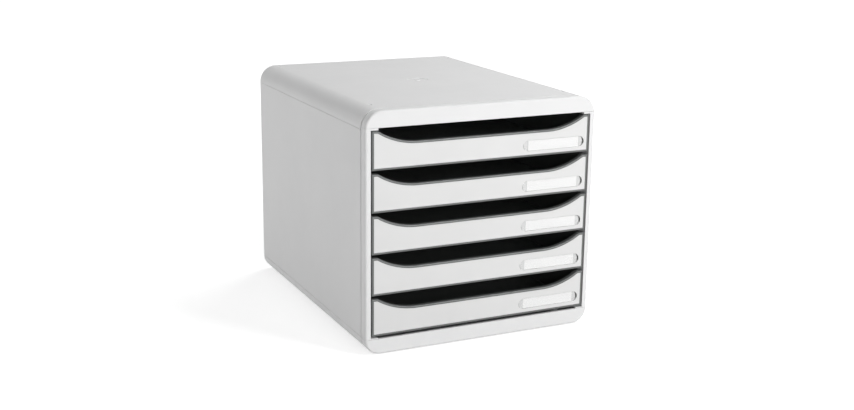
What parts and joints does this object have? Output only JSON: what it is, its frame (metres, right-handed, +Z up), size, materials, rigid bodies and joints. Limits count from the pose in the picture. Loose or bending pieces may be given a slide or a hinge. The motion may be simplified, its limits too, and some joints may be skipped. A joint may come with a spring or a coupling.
{
  "type": "desktop file drawer",
  "caption": "Free-standing desktop casing with rounded long edges and a stack of sliding file drawers, each with a scooped front and a label window.",
  "frame": {"origin": "centre of the footprint, at the level that the feet stand on", "axes": "+X to the right seen from the front, +Y from the drawer fronts to the back, +Z up"},
  "size_m": [0.278, 0.347, 0.268],
  "materials": {
    "casing": "fine matte texture",
    "facing": "glossy",
    "tray": "satin",
    "foot": "matte",
    "card": "matte",
    "window": "clear, polished"
  },
  "bodies": {
    "casing": {"bottom_shell": "casing", "top_shell": "casing", "left_side_panel": "casing", "right_side_panel": "casing", "rear_panel": "casing", "rubber_feet": "foot"},
    "drawer_1": {"drawer_tray_1": "tray", "drawer_facing_1": "facing", "label_card_1": "card", "label_window_1": "window"},
    "drawer_2": {"drawer_tray_2": "tray", "drawer_facing_2": "facing", "label_card_2": "card", "label_window_2": "window"},
    "drawer_3": {"drawer_tray_3": "tray", "drawer_facing_3": "facing", "label_card_3": "card", "label_window_3": "window"},
    "drawer_4": {"drawer_tray_4": "tray", "drawer_facing_4": "facing", "label_card_4": "card", "label_window_4": "window"},
    "drawer_5": {"drawer_tray_5": "tray", "drawer_facing_5": "facing", "label_card_5": "card", "label_window_5": "window"}
  },
  "joints": [
    {"name": "drawer_1_slide", "type": "slide", "parent": "casing", "child": "drawer_1", "axis": [0, -1, 0], "range_m": [0, 0.25]},
    {"name": "drawer_2_slide", "type": "slide", "parent": "casing", "child": "drawer_2", "axis": [0, -1, 0], "range_m": [0, 0.25]},
    {"name": "drawer_3_slide", "type": "slide", "parent": "casing", "child": "drawer_3", "axis": [0, -1, 0], "range_m": [0, 0.25]},
    {"name": "drawer_4_slide", "type": "slide", "parent": "casing", "child": "drawer_4", "axis": [0, -1, 0], "range_m": [0, 0.25]},
    {"name": "drawer_5_slide", "type": "slide", "parent": "casing", "child": "drawer_5", "axis": [0, -1, 0], "range_m": [0, 0.25]}
  ]
}
